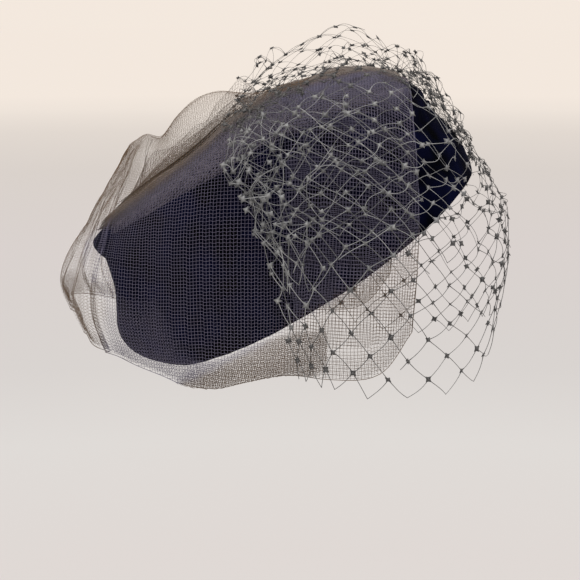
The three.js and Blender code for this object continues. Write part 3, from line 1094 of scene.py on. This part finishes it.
    def star(self, side, here):
        """The points of a small four-cornered knot, its corners towards the strands: rim, top and bottom."""
        step = np.array([[0, 0, 0], [1.0, 0, 0], [0, 0.005, 0]])
        points, normals = self.point(self.knots[here] + step)
        normal = unit(normals[0] + rng.normal(0, 0.35, 3))
        first = unit(np.cross(points[2] - points[0], normal))
        second = np.cross(normal, first)
        size = KNOT_SIZE * rng.uniform(0.8, 1.2) * (0.85 if self.knots[here][1] < 0.2 else 1.0)
        angle = math.tau * np.arange(KNOT_RIM) / KNOT_RIM + rng.normal(0, 0.25)
        reach = np.where(np.arange(KNOT_RIM) % 2 == 0, *KNOT_REACH)[:, None] * size
        rim = points[0] + reach * (np.cos(angle)[:, None] * first + np.sin(angle)[:, None] * second)
        rise = normal * KNOT_DEPTH / 2
        star = np.concatenate([rim, [points[0] + rise, points[0] - rise]])
        turned_round = np.r_[0, KNOT_RIM - 1:0:-1, KNOT_RIM, KNOT_RIM + 1]
        return mirrored(star)[turned_round] if side > 0 else star


def net_object(name, lines, stars, material, painted_light_mask):
    """One mesh of many strands and knots."""
    points, quads, caps = tube_parts(lines, NET_SIDES)
    rim = np.arange(KNOT_RIM)
    following = (rim + 1) % KNOT_RIM
    faces = np.concatenate([
        np.stack([rim, following, np.full(KNOT_RIM, KNOT_RIM)], -1),
        np.stack([following, rim, np.full(KNOT_RIM, KNOT_RIM + 1)], -1),
    ])
    shift = len(points) + (KNOT_RIM + 2) * np.arange(len(stars))[:, None, None]
    groups = [quads, caps, (faces + shift).reshape(-1, 3)]
    piece = make_object(name, np.concatenate([points] + stars), groups, material)
    counts = [len(line[0]) for line in lines]
    middle = np.concatenate([line[0] for line in lines] + [star.mean(0)[None] for star in stars])
    streaks = np.concatenate([
        np.repeat(rng.uniform(*NET_STREAK, len(lines)), counts),
        rng.uniform(*KNOT_STREAK, len(stars)),
    ])
    repeats = np.repeat([NET_SIDES, KNOT_RIM + 2], [sum(counts), len(stars)])
    set_painted_light_share(piece, middle, streaks, painted_light_mask, repeats)
    return piece


def make_net(painted_light_mask, material):
    veil = Veil(NET_HALF)
    layers = [NetLayer(veil, *layer) for layer in NET_LAYERS]
    lines = [line for layer in layers for line in layer.lines]
    stars = [star for layer in layers for star in layer.stars]
    net = net_object("net_knotted", lines, stars, material, painted_light_mask)
    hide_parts("birdcage_veil")
    return net


# Stage


def make_stage():
    """A wide pale floor, its colour painted as light and shade: darker near the hat, and as bright as the
    room far away.
    """
    material, nodes, links, shader = new_material("studio_floor", *FLOOR_FINISH)
    place = nodes.new("ShaderNodeTexCoord")
    scale = nodes.new("ShaderNodeMapping")
    set_inputs(scale, {"Scale": (1 / FLOOR_FADE,) * 3})
    links.new(place.outputs["Object"], scale.inputs["Vector"])
    nearness = nodes.new("ShaderNodeTexGradient")
    nearness.gradient_type = "SPHERICAL"
    links.new(scale.outputs["Vector"], nearness.inputs["Vector"])
    colour_by(nearness.outputs["Fac"], FLOOR_PAINTED_LIGHT_COLOURS, nodes, links, shader)
    turn = math.tau * np.arange(FLOOR_SIDES) / FLOOR_SIDES
    rim = np.stack([FLOOR_REACH * np.cos(turn), FLOOR_REACH * np.sin(turn), np.zeros(FLOOR_SIDES)], -1)
    mesh = bpy.data.meshes.new("studio_floor")
    mesh.from_pydata(rim.tolist(), [], [list(range(FLOOR_SIDES))])
    mesh.materials.append(material)
    floor = bpy.data.objects.new("studio_floor", mesh)
    floor.location = (0, 0, FLOOR_HEIGHT)
    bpy.context.scene.collection.objects.link(floor)


def make_lights():
    """The room's light, and round lamps that point at the hat."""
    bpy.context.scene.view_settings.view_transform = "Standard"
    world = bpy.data.worlds.new("studio_world")
    world.use_nodes = True
    set_inputs(world.node_tree.nodes["Background"], {"Color": (*ROOM_COLOUR, 1), "Strength": 1.0})
    bpy.context.scene.world = world
    for name, place, size, power, colour in LAMPS:
        light = bpy.data.lights.new(name, "AREA")
        light.shape = "DISK"
        light.size = size
        light.energy = power
        light.color = colour
        lamp = bpy.data.objects.new(name, light)
        lamp.location = place
        lamp.rotation_euler = (-Vector(place)).to_track_quat("-Z", "Y").to_euler()
        lamp.visible_camera = False
        bpy.context.scene.collection.objects.link(lamp)


def make_camera():
    elevation = math.radians(CAMERA_ELEVATION)
    away = Vector((0, -math.cos(elevation), math.sin(elevation)))
    camera_data = bpy.data.cameras.new("camera")
    camera_data.sensor_width = SENSOR
    camera_data.lens = SENSOR * PIXELS_PER_RADIAN / PHOTO_SIDE
    camera = bpy.data.objects.new("camera", camera_data)
    camera.location = (Vector(CAMERA_TARGET) + away * CAMERA_DISTANCE) * MM
    camera.rotation_euler = (-away).to_track_quat("-Z", "Y").to_euler()
    bpy.context.scene.collection.objects.link(camera)
    bpy.context.scene.camera = camera


make_camera()
make_stage()
make_lights()
felt = felt_material()
felt_tree = tree_of([make_crown(felt), make_cuff(felt)])
tulle_finish = thread_material("tulle", TULLE_COLOURS_AND_PAINTED_LIGHT, TULLE_FINISH)
# Masks for the threads' painted light, from the felt seen from its side
painted_light_mask = painted_light_outline(felt_tree)
tulle, turned_under = make_tulle(painted_light_outline(felt_tree, RIM_DROP, TOP_GAIN), tulle_finish)
gather_finish = thread_material("tulle_gathered", GATHER_COLOURS_AND_PAINTED_LIGHT, GATHER_FINISH)
# The gathered tulle with its painted light, and the dark threads of painted shade along its roll
gathers, fold_shade = make_gathers(felt_tree, painted_light_mask, gather_finish)
net = make_net(painted_light_mask, thread_material("net", NET_COLOURS_AND_PAINTED_HIGHLIGHT, NET_FINISH))
